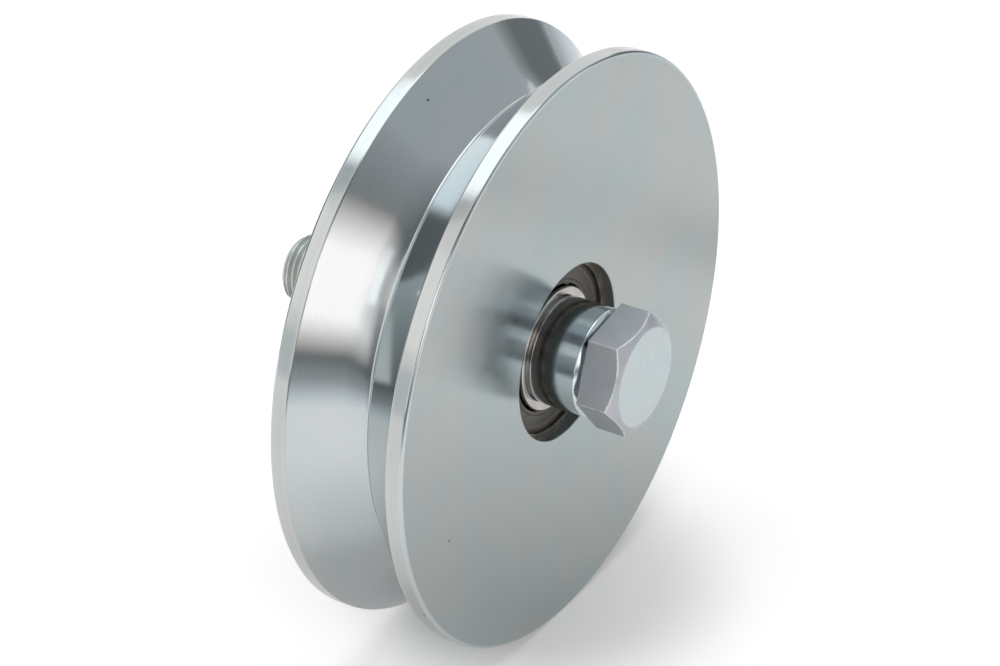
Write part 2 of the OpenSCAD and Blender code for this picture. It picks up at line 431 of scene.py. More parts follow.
@dataclass(frozen=True)
class RubberFinish(Finish):
    """Moulded rubber with a dusty, slightly greasy skin.

    Args:
        deep: Colour of clean rubber.
        dusty: Colour where dust sits.
        roughness: Middle roughness.
        uneven: Shares of the roughness without and with dust.
        grains: Grains of the skin in a metre.
        grain_depth: Depth of the grain.
        patches: Patches of dust in a metre.
    """

    deep: Colour
    dusty: Colour
    roughness: float
    uneven: tuple[float, float] = (0.85, 1.15)
    grains: float = 2600.0
    grain_depth: float = 0.01 * MM
    patches: float = 160.0

    def _make(self) -> bpy.types.Material:
        """Builds the dust and the grain.

        Returns:
            The new material.
        """
        sheet = NodeSheet(self.name)
        dust = sheet.spread(sheet.noise(self.patches, 5.0, 0.6), 0.0, 1.0)
        sheet.shade("Base Color", sheet.mix(dust, self.deep, self.dusty))
        sheet.shade("Roughness", sheet.spread(dust, *(self.roughness * share for share in self.uneven)))
        sheet.bump(sheet.noise(self.grains, 3.0), self.grain_depth)
        return sheet.material


FACE_ZINC = ZincFinish("wheel_face_zinc", (0.388, 0.45, 0.456), (0.43, 0.448, 0.44), 0.2, anisotropy=0.8,
                       speck=(-50.72 * MM, -17.0 * MM, -21.97 * MM))
GROOVE_ZINC = ZincFinish("groove_zinc", (0.53, 0.585, 0.595), (0.555, 0.59, 0.595), 0.105,
                         line_depth=0.0002 * MM)
REAR_ZINC = replace(GROOVE_ZINC, name="rear_flank_zinc", root_lean=0.17,
                    speck=(-15.88 * MM, 9.61 * MM, 64.68 * MM))
LAND_ZINC = ZincFinish("rim_land_zinc", (0.515, 0.545, 0.54), (0.545, 0.555, 0.545), 0.14,
                       speck=(-59.36 * MM, -15.8 * MM, -37.09 * MM))
BUSH_ZINC = ZincFinish("bush_zinc_gloss", (0.70, 0.78, 0.82), (0.75, 0.79, 0.80), 0.13,
                       cloud=8.0 * MM, anisotropy=0.6)
FLAT_ZINC = ZincFinish("bolt_zinc_satin", (0.515, 0.555, 0.595), (0.55, 0.565, 0.60), 0.36,
                       cloud=7.0 * MM, metal=0.6)
END_ZINC = ZincFinish("bolt_zinc_end", (0.50, 0.585, 0.61), (0.53, 0.58, 0.59), 0.3, cloud=6.0 * MM)
# Brighter colour for the corner edges of head and nut: partly rubbed wear, partly a painted highlight of
# bright surroundings on the rounded edges.
WORN_AND_HIGHLIT_EDGE_ZINC = ZincFinish("bolt_zinc_worn_and_highlight", (0.84, 0.86, 0.88), (0.62, 0.64, 0.66), 0.25,
                       cloud=1.6 * MM, metal=0.5)
THREAD_ZINC = ZincFinish("thread_zinc", (0.56, 0.60, 0.60), (0.60, 0.61, 0.58), 0.38, cloud=4.0 * MM)
RING_STEEL = SteelFinish("ring_steel_ground", (0.52, 0.50, 0.475), (0.42, 0.395, 0.365), 0.12)
# The outer race's dark brown is painted shade of its deep seat in the wheel's bore, laid over the oil film's
# random patches.
OILED_AND_SHADED_STEEL = SteelFinish("ring_steel_oiled_painted_shade", (0.21, 0.185, 0.15), (0.13, 0.11, 0.09), 0.4)
BALL_STEEL = SteelFinish("ball_steel_polished", (0.70, 0.70, 0.71), (0.62, 0.61, 0.59), 0.06)
CAGE_STEEL = SteelFinish("cage_steel_pressed", (0.55, 0.51, 0.44), (0.43, 0.39, 0.32), 0.32)
SPRING_STEEL = SteelFinish("spring_steel_oiled", (0.075, 0.075, 0.08), (0.045, 0.042, 0.04), 0.34)
SEAL_RUBBER = RubberFinish("seal_rubber_brown", (0.078, 0.070, 0.060), (0.112, 0.101, 0.087), 0.38)
WHEEL_FINISHES = (FACE_ZINC, GROOVE_ZINC, LAND_ZINC, REAR_ZINC)
BOLT_FINISHES = (FLAT_ZINC, WORN_AND_HIGHLIT_EDGE_ZINC, END_ZINC, THREAD_ZINC)


@dataclass(frozen=True)
class Corner:
    """Corner of a turned section.

    Args:
        radius: Distance from the axle.
        along: Place along the axle.
        rounding: How far from the corner its rounding starts, or 0 for a sharp corner.
        segments: Facets of the rounding.
    """

    radius: float
    along: float
    rounding: float = 0.0
    segments: int = 4


@dataclass(frozen=True)
class TurnedSection:
    """Closed section that is spun around the axle.

    Args:
        corners: The section's corners in order.
        steps: Facets of a full turn.
    """

    corners: tuple[Corner, ...]
    steps: int = 256

    def flipped(self) -> "TurnedSection":
        """The same section mirrored along the axle."""
        return replace(self, corners=tuple(replace(c, along=-c.along) for c in self.corners))

    def moved(self, along: float) -> "TurnedSection":
        """The same section moved along the axle."""
        return replace(self, corners=tuple(replace(c, along=c.along + along) for c in self.corners))

    def solid(self) -> BMesh:
        """Spins the rounded outline.

        Returns:
            A closed mesh with its faces pointing outwards.
        """
        bm = bmesh.new()
        verts = [bm.verts.new((corner.radius, corner.along, 0.0)) for corner in self.corners]
        for first, second in zip(verts, verts[1:] + verts[:1]):
            bm.edges.new((first, second))
        for corner, vert in zip(self.corners, verts):
            if corner.rounding > 0.0:
                bmesh.ops.bevel(bm, geom=[vert], offset=corner.rounding, segments=corner.segments,
                                profile=0.5, affect="VERTICES", material=-1)
        bmesh.ops.spin(bm, geom=[*bm.verts, *bm.edges], cent=ORIGIN, axis=AXLE_AXIS,
                       angle=FULL_TURN, steps=self.steps, use_merge=True)
        return closed(bm)


def arc(radius: float, along: float, reach: float, start: float, stop: float, count: int) -> list[Corner]:
    """Points of a round stretch in a section.

    Args:
        radius: The arc's centre from the axle.
        along: The arc's centre along the axle.
        reach: The arc's own radius.
        start: Angle of the first point from the axle's direction.
        stop: Angle of the last point.
        count: Number of points.

    Returns:
        The points as sharp corners.
    """
    angles = [start + (stop - start) * i / (count - 1) for i in range(count)]
    return [Corner(radius + reach * math.sin(a), along + reach * math.cos(a)) for a in angles]


def closed(bm: BMesh) -> BMesh:
    """Merges doubles and turns all faces outwards."""
    bmesh.ops.remove_doubles(bm, verts=bm.verts, dist=MERGE_DISTANCE)
    bmesh.ops.recalc_face_normals(bm, faces=bm.faces)
    return bm


def girth(bm: BMesh, edges: Sequence[BMEdge], radius: Around, along: Around) -> list[BMEdge]:
    """Extrudes a loop around the axle to a new radius and place.

    Args:
        bm: Mesh that holds the loop.
        edges: The loop's edges.
        radius: New distance from the axle at each angle.
        along: New place along the axle at each angle.

    Returns:
        The new loop's edges.
    """
    made = bmesh.ops.extrude_edge_only(bm, edges=edges)["geom"]
    verts = {item for item in made if isinstance(item, BMVert)}
    shape_girth(verts, radius, along)
    return [item for item in made if isinstance(item, BMEdge) and verts.issuperset(item.verts)]


def shape_girth(verts: Iterable[BMVert], radius: Around, along: Around) -> None:
    """Moves a loop's vertices to a radius and a place at each angle."""
    for vert in verts:
        angle = math.atan2(vert.co.z, vert.co.x)
        reach = radius(angle)
        vert.co = Vector((reach * math.cos(angle), along(angle), reach * math.sin(angle)))


def level(value: float) -> Around:
    """A value that is the same at every angle."""
    return lambda angle: value


def finish_piece(name: str, bm: BMesh, body: Body | str, slot: str, finishes: Sequence[Finish],
                 *nodes: str) -> bpy.types.Object:
    """Makes a piece from a mesh, evens its shading and ties it to the frame.

    Args:
        name: Name of the piece.
        bm: The piece's mesh, which is freed.
        body: Body that the piece rides on.
        slot: The record's material slot, not used.
        finishes: Finishes in the order of the faces' material numbers.
        nodes: Nodes of the frame that the piece stands for.

    Returns:
        The finished piece.
    """
    mesh = bpy.data.meshes.new(name)
    bm.to_mesh(mesh)
    bm.free()
    mesh.shade_smooth()
    mesh.set_sharp_from_angle(angle=SHARP_ANGLE)
    for finish in finishes:
        mesh.materials.append(finish.material())
    piece = bpy.data.objects.new(name, mesh)
    bpy.context.scene.collection.objects.link(piece)
    even = piece.modifiers.new("even_shading", "WEIGHTED_NORMAL")
    even.keep_sharp = True
    even.weight = SHADING_WEIGHT
    settled = piece.evaluated_get(bpy.context.evaluated_depsgraph_get())
    piece.data = bpy.data.meshes.new_from_object(settled)
    piece.modifiers.clear()
    piece.data.name = name
    bpy.data.meshes.remove(mesh)
    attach(piece, body.value if isinstance(body, Body) else body)
    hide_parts(*nodes)
    LOG.info("%s: %d faces, in place of %s", name, len(piece.data.polygons), ", ".join(nodes))
    return piece


@dataclass(frozen=True)
class GrooveWheel:
    """The turned wheel with its V groove and stepped bore.

    Args:
        radius: Outside radius, from the frame.
        half_width: Half of its width, from the frame.
        groove_half: Half of the groove's width at the rim.
        root_rounding: Rounding at the groove's bottom.
        rim_rounding: Rounding of the rim's outer edges.
        mouth_rounding: Rounding of the groove's mouth and the bore's edges.
        lip_radius: Radius of the hole in the front lip.
        lip_thickness: Thickness of the front lip.
        seat_radius: Radius of the bearings' seat.
        circlip_depth: Depth of the circlip's groove.
        circlip_width: Width of the circlip's groove.
        rear_land: Wall between the circlip's groove and the rear face.
        root_segments: Facets of the groove's rounded bottom.
        turn_steps: Facets of a full turn.
    """

    radius: float
    half_width: float
    groove_half: float = 13.0 * MM
    root_rounding: float = 0.55 * MM
    rim_rounding: float = 0.8 * MM
    mouth_rounding: float = 0.3 * MM
    lip_radius: float = 20.92 * MM
    lip_thickness: float = 3.0 * MM
    seat_radius: float = 23.52 * MM
    circlip_depth: float = 1.25 * MM
    circlip_width: float = 1.85 * MM
    rear_land: float = 1.15 * MM
    root_segments: int = 8
    turn_steps: int = 360

    @classmethod
    def from_frame(cls) -> "GrooveWheel":
        """Wheel with the frame's outside sizes."""
        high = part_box("wheel")[1]
        return cls(radius=high.x, half_width=high.y)

    def section(self) -> TurnedSection:
        """Section of the wheel, from the lip outwards and back through the bore.

        Returns:
            The section to spin.
        """
        floor = self.radius - self.groove_half
        groove_end = self.half_width - self.rear_land
        groove_start = groove_end - self.circlip_width
        groove_radius = self.seat_radius + self.circlip_depth
        shoulder = self.lip_thickness - self.half_width
        return TurnedSection((
            Corner(self.lip_radius, -self.half_width, self.mouth_rounding),
            Corner(self.radius, -self.half_width, self.rim_rounding),
            Corner(self.radius, -self.groove_half, self.mouth_rounding),
            Corner(floor, 0.0, self.root_rounding, self.root_segments),
            Corner(self.radius, self.groove_half, self.mouth_rounding),
            Corner(self.radius, self.half_width, self.rim_rounding),
            Corner(self.seat_radius, self.half_width, self.mouth_rounding),
            Corner(self.seat_radius, groove_end),
            Corner(groove_radius, groove_end),
            Corner(groove_radius, groove_start),
            Corner(self.seat_radius, groove_start),
            Corner(self.seat_radius, shoulder),
            Corner(self.lip_radius, shoulder),
        ), steps=self.turn_steps)

    def build(self) -> bpy.types.Object:
        """Builds the wheel and gives its faces, groove and rim their finishes.

        Returns:
            The finished wheel.
        """
        bm = self.section().solid()
        for face in bm.faces:
            face.material_index = WHEEL_FINISHES.index(self._finish(face.calc_center_median()))
        return finish_piece("grooved_wheel", bm, Body.WHEEL, "wheel_zinc", WHEEL_FINISHES, "wheel")

    def _finish(self, place: Vector) -> ZincFinish:
        """Finish of a face.

        Args:
            place: The face's middle.

        Returns:
            The groove's finish also for the rims' roundings, the land's for the rims, or the plain faces'.
        """
        reach = math.hypot(place.x, place.z)
        if reach > self.radius - self.rim_rounding and abs(place.y) > self.half_width - self.rim_rounding:
            return GROOVE_ZINC
        if reach > self.radius - self.mouth_rounding:
            return LAND_ZINC
        if abs(place.y) < self.groove_half and reach > self.radius - self.groove_half:
            return REAR_ZINC if place.y > self.root_rounding else GROOVE_ZINC
        return FACE_ZINC


@dataclass(frozen=True)
class CollarBush:
    """Shouldered bush between a bearing and the bolt's head or the nut.

    Args:
        side: End of the axle.
        face: Bearing face that the collar seats on, from the axle's middle.
        reach: Outer end of the collar, from the axle's middle.
        collar_radius: Radius of the collar, from the frame.
        chamfer: Chamfer at the collar's outer end.
        spigot_radius: Radius of the spigot in the bearing.
        spigot_length: Length of the spigot.
        bore_radius: Radius of the bolt's hole.
        foot_chamfer: Chamfer where the collar seats on the bearing.
        edge: Rounding of small edges.
    """

    side: Side
    face: float
    reach: float
    collar_radius: float
    chamfer: float = 1.3 * MM
    spigot_radius: float = 9.98 * MM
    spigot_length: float = 13.5 * MM
    bore_radius: float = 8.2 * MM
    foot_chamfer: float = 0.6 * MM
    edge: float = 0.2 * MM

    @classmethod
    def from_frame(cls, side: Side) -> "CollarBush":
        """Bush with the frame's outside sizes.

        Args:
            side: End of the axle.

        Returns:
            The bush for that end.
        """
        low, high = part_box(f"{side.label}_bush")
        ring_low, ring_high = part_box(f"{side.label}_inner_ring")
        if side is Side.FRONT:
            return cls(side, -ring_low.y, -low.y, high.x)
        return cls(side, ring_high.y, high.y, high.x)

    def build(self) -> bpy.types.Object:
        """Builds the bush on its end of the axle.

        Returns:
            The finished bush.
        """
        inner_end = self.face - self.spigot_length
        section = TurnedSection((
            Corner(self.bore_radius, self.reach, self.edge),
            Corner(self.collar_radius - self.chamfer, self.reach, self.edge),
            Corner(self.collar_radius, self.reach - self.chamfer, self.edge),
            Corner(self.collar_radius, self.face + self.foot_chamfer, self.edge),
            Corner(self.collar_radius - self.foot_chamfer, self.face),
            Corner(self.spigot_radius, self.face),
            Corner(self.spigot_radius, inner_end, 3.0 * self.edge),
            Corner(self.bore_radius, inner_end, self.edge),
        ))
        section = section.flipped() if self.side is Side.FRONT else section
        label = self.side.label
        return finish_piece(f"{label}_collar", section.solid(), Body.AXLE, "bush_zinc",
                            (BUSH_ZINC,), f"{label}_bush")


@dataclass(frozen=True)
class Hexagon:
    """Outline and corner chamfer that the bolt's head and the nut share.

    Args:
        across_flats: Width across the flats.
        flat_ring: Radius of the round end face.
        slope: Slope of the corner chamfer.
        turn: Angle of the first corner.
        side_steps: Facets along each flat.
        edge: Rounding of the edges.
        edge_segments: Facets of that rounding.
        keen_angle: Angle from which an edge is rounded.
    """

    across_flats: float = 25.5 * MM
    flat_ring: float = 11.65 * MM
    slope: float = math.radians(35.0)
    turn: float = 0.0
    side_steps: int = 16
    edge: float = 0.22 * MM
    edge_segments: int = 3
    keen_angle: float = math.radians(20.0)

    def outline(self, angle: float) -> float:
        """Distance of the outline from the axle at an angle."""
        sixth = FULL_TURN / 6.0
        from_flat = (angle - self.turn) % sixth - sixth / 2.0
        return self.across_flats / 2.0 / math.cos(from_flat)

    def drop(self, angle: float) -> float:
        """How far the corner chamfer falls below the end face at an angle."""
        return (self.outline(angle) - self.flat_ring) * math.tan(self.slope)

    def ring(self, bm: BMesh, radius: Around, along: Around) -> list[BMEdge]:
        """Starts a loop around the axle with a vertex on every corner.

        Args:
            bm: Mesh that gets the loop.
            radius: Distance from the axle at each angle.
            along: Place along the axle at each angle.

        Returns:
            The loop's edges.
        """
        upright = Matrix.Rotation(math.radians(90.0), 4, "X") @ Matrix.Rotation(self.turn, 4, "Z")
        made = bmesh.ops.create_circle(bm, segments=6 * self.side_steps, radius=self.flat_ring,
                                       matrix=upright)
        shape_girth(made["verts"], radius, along)
        return list({edge for vert in made["verts"] for edge in vert.link_edges})

    def soften(self, bm: BMesh) -> None:
        """Rounds the edges that stand out, apart from open ends, and gives those on corners a brighter
        finish, partly wear and partly painted highlight.
        """
        keen = [edge for edge in bm.edges if edge.is_manifold and edge.calc_face_angle() > self.keen_angle]
        corners = [edge for edge in keen if self._on_corner(edge)]
        others = [edge for edge in keen if edge not in corners]
        self._round(bm, others)
        for face in self._round(bm, corners):
            face.material_index = BOLT_FINISHES.index(WORN_AND_HIGHLIT_EDGE_ZINC)

    def _on_corner(self, edge: BMEdge) -> bool:
        """Whether an edge reaches outside the round end face."""
        reach = max(math.hypot(vert.co.x, vert.co.z) for vert in edge.verts)
        return reach > self.flat_ring + self.edge

    def _round(self, bm: BMesh, edges: list[BMEdge]) -> list[BMFace]:
        """The new faces after rounding some edges."""
        return bmesh.ops.bevel(bm, geom=edges, offset=self.edge, segments=self.edge_segments, profile=0.5,
                               affect="EDGES", material=-1, clamp_overlap=True)["faces"]


@dataclass(frozen=True)
class Thread:
    """Outside thread of the axle bolt.

    Args:
        radius: Radius over the crests.
        pitch: Distance between turns.
        depth: Height of the ridge.
        steps: Facets of a turn.
        rounding: Rounding of the crests and valleys.
        flank_cuts: Cuts along each flank.
    """

    radius: float = 8.0 * MM
    pitch: float = 1.5 * MM
    depth: float = 0.92 * MM
    steps: int = 72
    rounding: float = 0.09 * MM
    flank_cuts: int = 4

    def ridge(self, start: float, stop: float) -> BMesh:
        """Winds the ridge and trims it square at both ends.

        Args:
            start: Place along the axle where the thread starts.
            stop: Place along the axle where it ends.

        Returns:
            An open mesh with a loop at each end.
        """
        root = self.radius - self.depth
        crest = self.pitch / 8.0
        valley = self.pitch / 4.0
        flank = (self.pitch - crest - valley) / 2.0
        places = ((self.radius, 0.0), (self.radius, crest), (root, crest + flank),
                  (root, crest + flank + valley), (self.radius, self.pitch))
        bm = bmesh.new()
        first = start - self.pitch
        verts = [bm.verts.new((reach, first + along, 0.0)) for reach, along in places]
        for one, two in zip(verts, verts[1:]):
            bm.edges.new((one, two))
        bmesh.ops.bevel(bm, geom=verts[1:-1], offset=self.rounding, segments=2, profile=0.5,
                        affect="VERTICES", material=-1)
        slopes = [edge for edge in bm.edges if edge.calc_length() > flank]
        bmesh.ops.subdivide_edges(bm, edges=slopes, cuts=self.flank_cuts)
        turns = math.ceil((stop - start) / self.pitch) + 2
        bmesh.ops.spin(bm, geom=[*bm.verts, *bm.edges], cent=ORIGIN, axis=AXLE_AXIS,
                       dvec=(0.0, self.pitch / self.steps, 0.0), angle=FULL_TURN * turns,
                       steps=self.steps * turns, use_merge=False)
        bmesh.ops.remove_doubles(bm, verts=bm.verts, dist=LOOSE_DISTANCE)
        for place, before in ((start, True), (stop, False)):
            bmesh.ops.bisect_plane(bm, geom=[*bm.verts, *bm.edges, *bm.faces], plane_co=(0.0, place, 0.0),
                                   plane_no=AXLE_AXIS, clear_inner=before, clear_outer=not before)
        return bm


@dataclass(frozen=True)
class AxleBolt:
    """Hexagon-head bolt that carries everything.

    Args:
        head_face: Outer face of the head, from the frame.
        point: Threaded end, from the frame.
        seat: Place along the axle where the washer face meets the front bush.
        nut_start: Inner face of the nut.
        nut_end: Outer face of the nut.
        washer_height: Height of the washer face.
        shank_radius: Radius of the shank and the thread.
        engaged_radius: Pitch radius of the thread inside the nut.
        thread_lead: How far inside the nut the visible thread starts.
        point_chamfer: Chamfer at the bolt's point.
        hexagon: Shape of the head.
        thread: Shape of the thread.
    """

    head_face: float
    point: float
    seat: float
    nut_start: float
    nut_end: float
    washer_height: float = 0.6 * MM
    shank_radius: float = 8.0 * MM
    engaged_radius: float = 7.513 * MM
    thread_lead: float = 1.0 * MM
    point_chamfer: float = 1.5 * MM
    hexagon: Hexagon = field(default_factory=lambda: Hexagon(turn=math.radians(9.0)))
    thread: Thread = field(default_factory=Thread)

    @classmethod
    def from_frame(cls) -> "AxleBolt":
        """Bolt with the frame's places along the axle."""
        low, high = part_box("axle_bolt")
        nut_low, nut_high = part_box("axle_nut")
        return cls(low.y, high.y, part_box("front_bush")[0].y, nut_low.y, nut_high.y)

    def build(self) -> bpy.types.Object:
        """Builds the thread, the shank and the head as one closed mesh.

        Returns:
            The finished bolt.
        """
        start = self.nut_end - self.thread_lead
        bm = self.thread.ridge(start, self.point)
        self._point(bm)
        for face in bm.faces:
            face.material_index = BOLT_FINISHES.index(THREAD_ZINC)
        loop = self._open_loop(bm, start)
        for reach, along in (
            (self.engaged_radius, start - self.thread_lead),
            (self.engaged_radius, self.nut_start),
            (self.shank_radius, self.nut_start),
            (self.shank_radius, self.seat),
            (self.hexagon.flat_ring, self.seat),
            (self.hexagon.flat_ring, self.seat - self.washer_height),
        ):
            loop = girth(bm, loop, level(reach), level(along))
        head = self._head()
        joined = bpy.data.meshes.new("bolt_head_work")
        head.to_mesh(joined)
        head.free()
        bm.from_mesh(joined)
        bpy.data.meshes.remove(joined)
        rims = [edge for edge in bm.edges if edge.is_boundary]
        bmesh.ops.bridge_loops(bm, edges=rims)
        return finish_piece("threaded_axle_bolt", closed(bm), Body.AXLE, "bolt_zinc",
                            BOLT_FINISHES, "axle_bolt")

    def _point(self, bm: BMesh) -> None:
        """Chamfers the threaded end and closes it."""
        cone_start = self.point - self.point_chamfer
        for vert in bm.verts:
            reach = math.hypot(vert.co.x, vert.co.z)
            limit = self.shank_radius - max(0.0, vert.co.y - cone_start)
            if reach > limit:
                vert.co.x *= limit / reach
                vert.co.z *= limit / reach
        bmesh.ops.contextual_create(bm, geom=self._open_loop(bm, self.point))

    def _open_loop(self, bm: BMesh, along: float) -> list[BMEdge]:
        """Boundary edges of the mesh at a place along the axle."""
        rims = [edge for edge in bm.edges if edge.is_boundary]
        return [rim for rim in rims if all(abs(vert.co.y - along) < LOOSE_DISTANCE for vert in rim.verts)]

    def _head(self) -> BMesh:
        """Builds the head, open at its underside.

        Returns:
            The head's mesh.
        """
        bm = bmesh.new()
        shape = self.hexagon
        loop = shape.ring(bm, shape.outline, level(self.seat - self.washer_height))
        loop = girth(bm, loop, shape.outline, lambda angle: self.head_face + shape.drop(angle))
        loop = girth(bm, loop, level(shape.flat_ring), level(self.head_face))
        for face in bmesh.ops.contextual_create(bm, geom=loop)["faces"]:
            face.material_index = BOLT_FINISHES.index(END_ZINC)
        shape.soften(bm)
        return bm


@dataclass(frozen=True)
class AxleNut:
    """Hexagon nut behind the rear bush.

    Args:
        start: Inner face, from the frame.
        end: Outer face, from the frame.
        bore_radius: Radius at the pitch of the thread.
        sink_radius: Radius of the countersinks.
        hexagon: Shape of the nut.
    """

    start: float
    end: float
    bore_radius: float = 7.533 * MM
    sink_radius: float = 8.533 * MM
    hexagon: Hexagon = field(default_factory=lambda: Hexagon(turn=math.radians(24.0)))

    @classmethod
    def from_frame(cls) -> "AxleNut":
        """Nut with the frame's places along the axle."""
        low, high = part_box("axle_nut")
        return cls(low.y, high.y)

    def build(self) -> bpy.types.Object:
        """Builds the nut with chamfered corners and a countersunk bore.

        Returns:
            The finished nut.
        """
        bm = bmesh.new()
        shape = self.hexagon
        sink = self.sink_radius - self.bore_radius
        first = shape.ring(bm, level(shape.flat_ring), level(self.start))
        loop = girth(bm, first, shape.outline, lambda angle: self.start + shape.drop(angle))
        loop = girth(bm, loop, shape.outline, lambda angle: self.end - shape.drop(angle))
        for reach, along in (
            (shape.flat_ring, self.end),
            (self.sink_radius, self.end),
            (self.bore_radius, self.end - sink),
            (self.bore_radius, self.start + sink),
            (self.sink_radius, self.start),
        ):
            loop = girth(bm, loop, level(reach), level(along))
        bmesh.ops.bridge_loops(bm, edges=[edge for edge in bm.edges if edge.is_boundary])
        bmesh.ops.recalc_face_normals(bm, faces=bm.faces)
        shape.soften(bm)
        return finish_piece("chamfered_axle_nut", closed(bm), Body.AXLE, "bolt_zinc",
                            BOLT_FINISHES, "axle_nut")


@dataclass(frozen=True)
class BallBearing:
    """Sealed ball bearing: two rings, two seals, balls and a riveted cage.

    Args:
        side: End of the axle.
        middle: Middle of the bearing along the axle, from the frame.
        half: Half of its width, from the frame.
        bore: Radius of the bore.
        outside: Outside radius, from the frame.
        pitch_radius: Radius of the circle of balls.
        race: Radius of the races.
        inner_land: Radius of the inner ring's shoulders.
        outer_land: Radius of the outer ring's shoulders.
        seal_seat: Radius of the outer ring around the seal.
        seal_groove: Radius of the groove that holds the seal.
        seal_recess: Depth of the seal's plate below the bearing's face.
        seal_thickness: Thickness of the seal.
        seal_hole: Radius of the seal's hole.
        seal_relief: Dark gap around the seal's plate.
        seal_play: Play of the seal's bead in its groove.
        seal_dish: Depth of the dish in the seal's face.
        dish_slope: Width of the dish's sloping sides.
        hole_bead: Width of the raised band around the hole.
        rim_bead: Width of the raised band at the plate's rim.
        seal_edge: Rounding of the seal's edges.
        seat_edge: Rounding of the outer ring's edge around the seal.
        outer_edge: Rounding of the outer ring's corners.
        inner_edge: Rounding of the inner ring's corners.
        ball_radius: Radius of the balls.
        ball_count: Number of balls.
        ball_columns: Facets around a ball.
        ball_rows: Facets from pole to pole.
        race_points: Points of a race's arc.
    """

    side: Side
    middle: float
    half: float
    outside: float
    bore: float = 10.0 * MM
    pitch_radius: float = 16.75 * MM
    race: float = 4.119 * MM
    inner_land: float = 14.7 * MM
    outer_land: float = 19.1 * MM
    seal_seat: float = 20.1 * MM
    seal_groove: float = 20.45 * MM
    seal_recess: float = 1.0 * MM
    seal_thickness: float = 0.7 * MM
    seal_hole: float = 15.1 * MM
    seal_relief: float = 0.25 * MM
    seal_play: float = 0.02 * MM
    seal_dish: float = 0.28 * MM
    dish_slope: float = 0.4 * MM
    hole_bead: float = 0.7 * MM
    rim_bead: float = 0.9 * MM
    seal_edge: float = 0.12 * MM
    seat_edge: float = 0.2 * MM
    outer_edge: float = 0.8 * MM
    inner_edge: float = 0.4 * MM
    ball_radius: float = 3.969 * MM
    ball_count: int = 8
    ball_columns: int = 40
    ball_rows: int = 24
    race_points: int = 17

    @property
    def seal_step(self) -> float:
        """Step between the seal's faces and the bead that its groove holds."""
        return self.seal_thickness / 6.0

    @classmethod
    def from_frame(cls, side: Side) -> "BallBearing":
        """Bearing with the frame's outside sizes.

        Args:
            side: End of the axle.

        Returns:
            The bearing of that end.
        """
        low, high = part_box(f"{side.label}_outer_ring")
        return cls(side, (low.y + high.y) / 2.0, (high.y - low.y) / 2.0, high.x)

    def outer_ring(self) -> TurnedSection:
        """Section of the outer ring about the bearing's middle.

        Returns:
            The section to spin.
        """
        shelf = self.half - self.seal_recess - self.seal_thickness
        inner = shelf + self.seal_step
        outer = self.half - self.seal_recess - self.seal_step
        opening = math.acos((self.outer_land - self.pitch_radius) / self.race)
        bottom = math.pi / 2.0
        half_side = [
            Corner(self.outer_land, shelf),
            Corner(self.seal_seat, shelf),
            Corner(self.seal_seat, inner),
            Corner(self.seal_groove, inner),
            Corner(self.seal_groove, outer),
            Corner(self.seal_seat, outer),
            Corner(self.seal_seat, self.half, self.seat_edge),
            Corner(self.outside, self.half, self.outer_edge),
        ]
        other_side = [replace(corner, along=-corner.along) for corner in reversed(half_side)]
        groove = arc(self.pitch_radius, 0.0, self.race, bottom + opening, bottom - opening,
                     self.race_points)
        return TurnedSection(tuple(half_side + other_side + groove))

    def inner_ring(self) -> TurnedSection:
        """Section of the inner ring about the bearing's middle.

        Returns:
            The section to spin.
        """
        opening = math.acos((self.pitch_radius - self.inner_land) / self.race)
        bottom = -math.pi / 2.0
        groove = arc(self.pitch_radius, 0.0, self.race, bottom + opening, bottom - opening,
                     self.race_points)
        return TurnedSection((
            Corner(self.bore, -self.half, self.inner_edge),
            Corner(self.bore, self.half, self.inner_edge),
            Corner(self.inner_land, self.half, self.inner_edge),
            *groove,
            Corner(self.inner_land, -self.half, self.inner_edge),
        ))

    def seal(self) -> TurnedSection:
        """Section of a seal on the bearing's front face, about its middle.

        Returns:
            The section to spin.
        """
        top = self.seal_recess - self.half
        under = top + self.seal_thickness
        bead_top = top + self.seal_step + self.seal_play
        bead_under = under - self.seal_step - self.seal_play
        plate = self.seal_seat - self.seal_relief
        bead = self.seal_groove - self.seal_play
        dish_start = self.seal_hole + self.hole_bead
        dish_end = plate - self.rim_bead
        bottom = top + self.seal_dish
        edge = self.seal_edge
        return TurnedSection((
            Corner(self.seal_hole, top + edge, edge),
            Corner(dish_start, top, edge),
            Corner(dish_start + self.dish_slope, bottom, edge),
            Corner(dish_end - self.dish_slope, bottom, edge),
            Corner(dish_end, top, edge),
            Corner(plate, top, edge),
            Corner(plate, bead_top),
            Corner(bead, bead_top),
            Corner(bead, bead_under),
            Corner(plate, bead_under),
            Corner(plate, under, edge),
            Corner(self.seal_hole, under, edge),
        ))

    def ball_set(self) -> BMesh:
        """The balls on their circle.

        Returns:
            The balls as one mesh of separate spheres.
        """
        bm = bmesh.new()
        for number in range(self.ball_count):
            turn = Matrix.Rotation(FULL_TURN * number / self.ball_count, 4, "Y")
            place = turn @ Matrix.Translation((self.pitch_radius, self.middle, 0.0))
            bmesh.ops.create_uvsphere(bm, u_segments=self.ball_columns, v_segments=self.ball_rows,
                                      radius=self.ball_radius, matrix=place)
        return closed(bm)

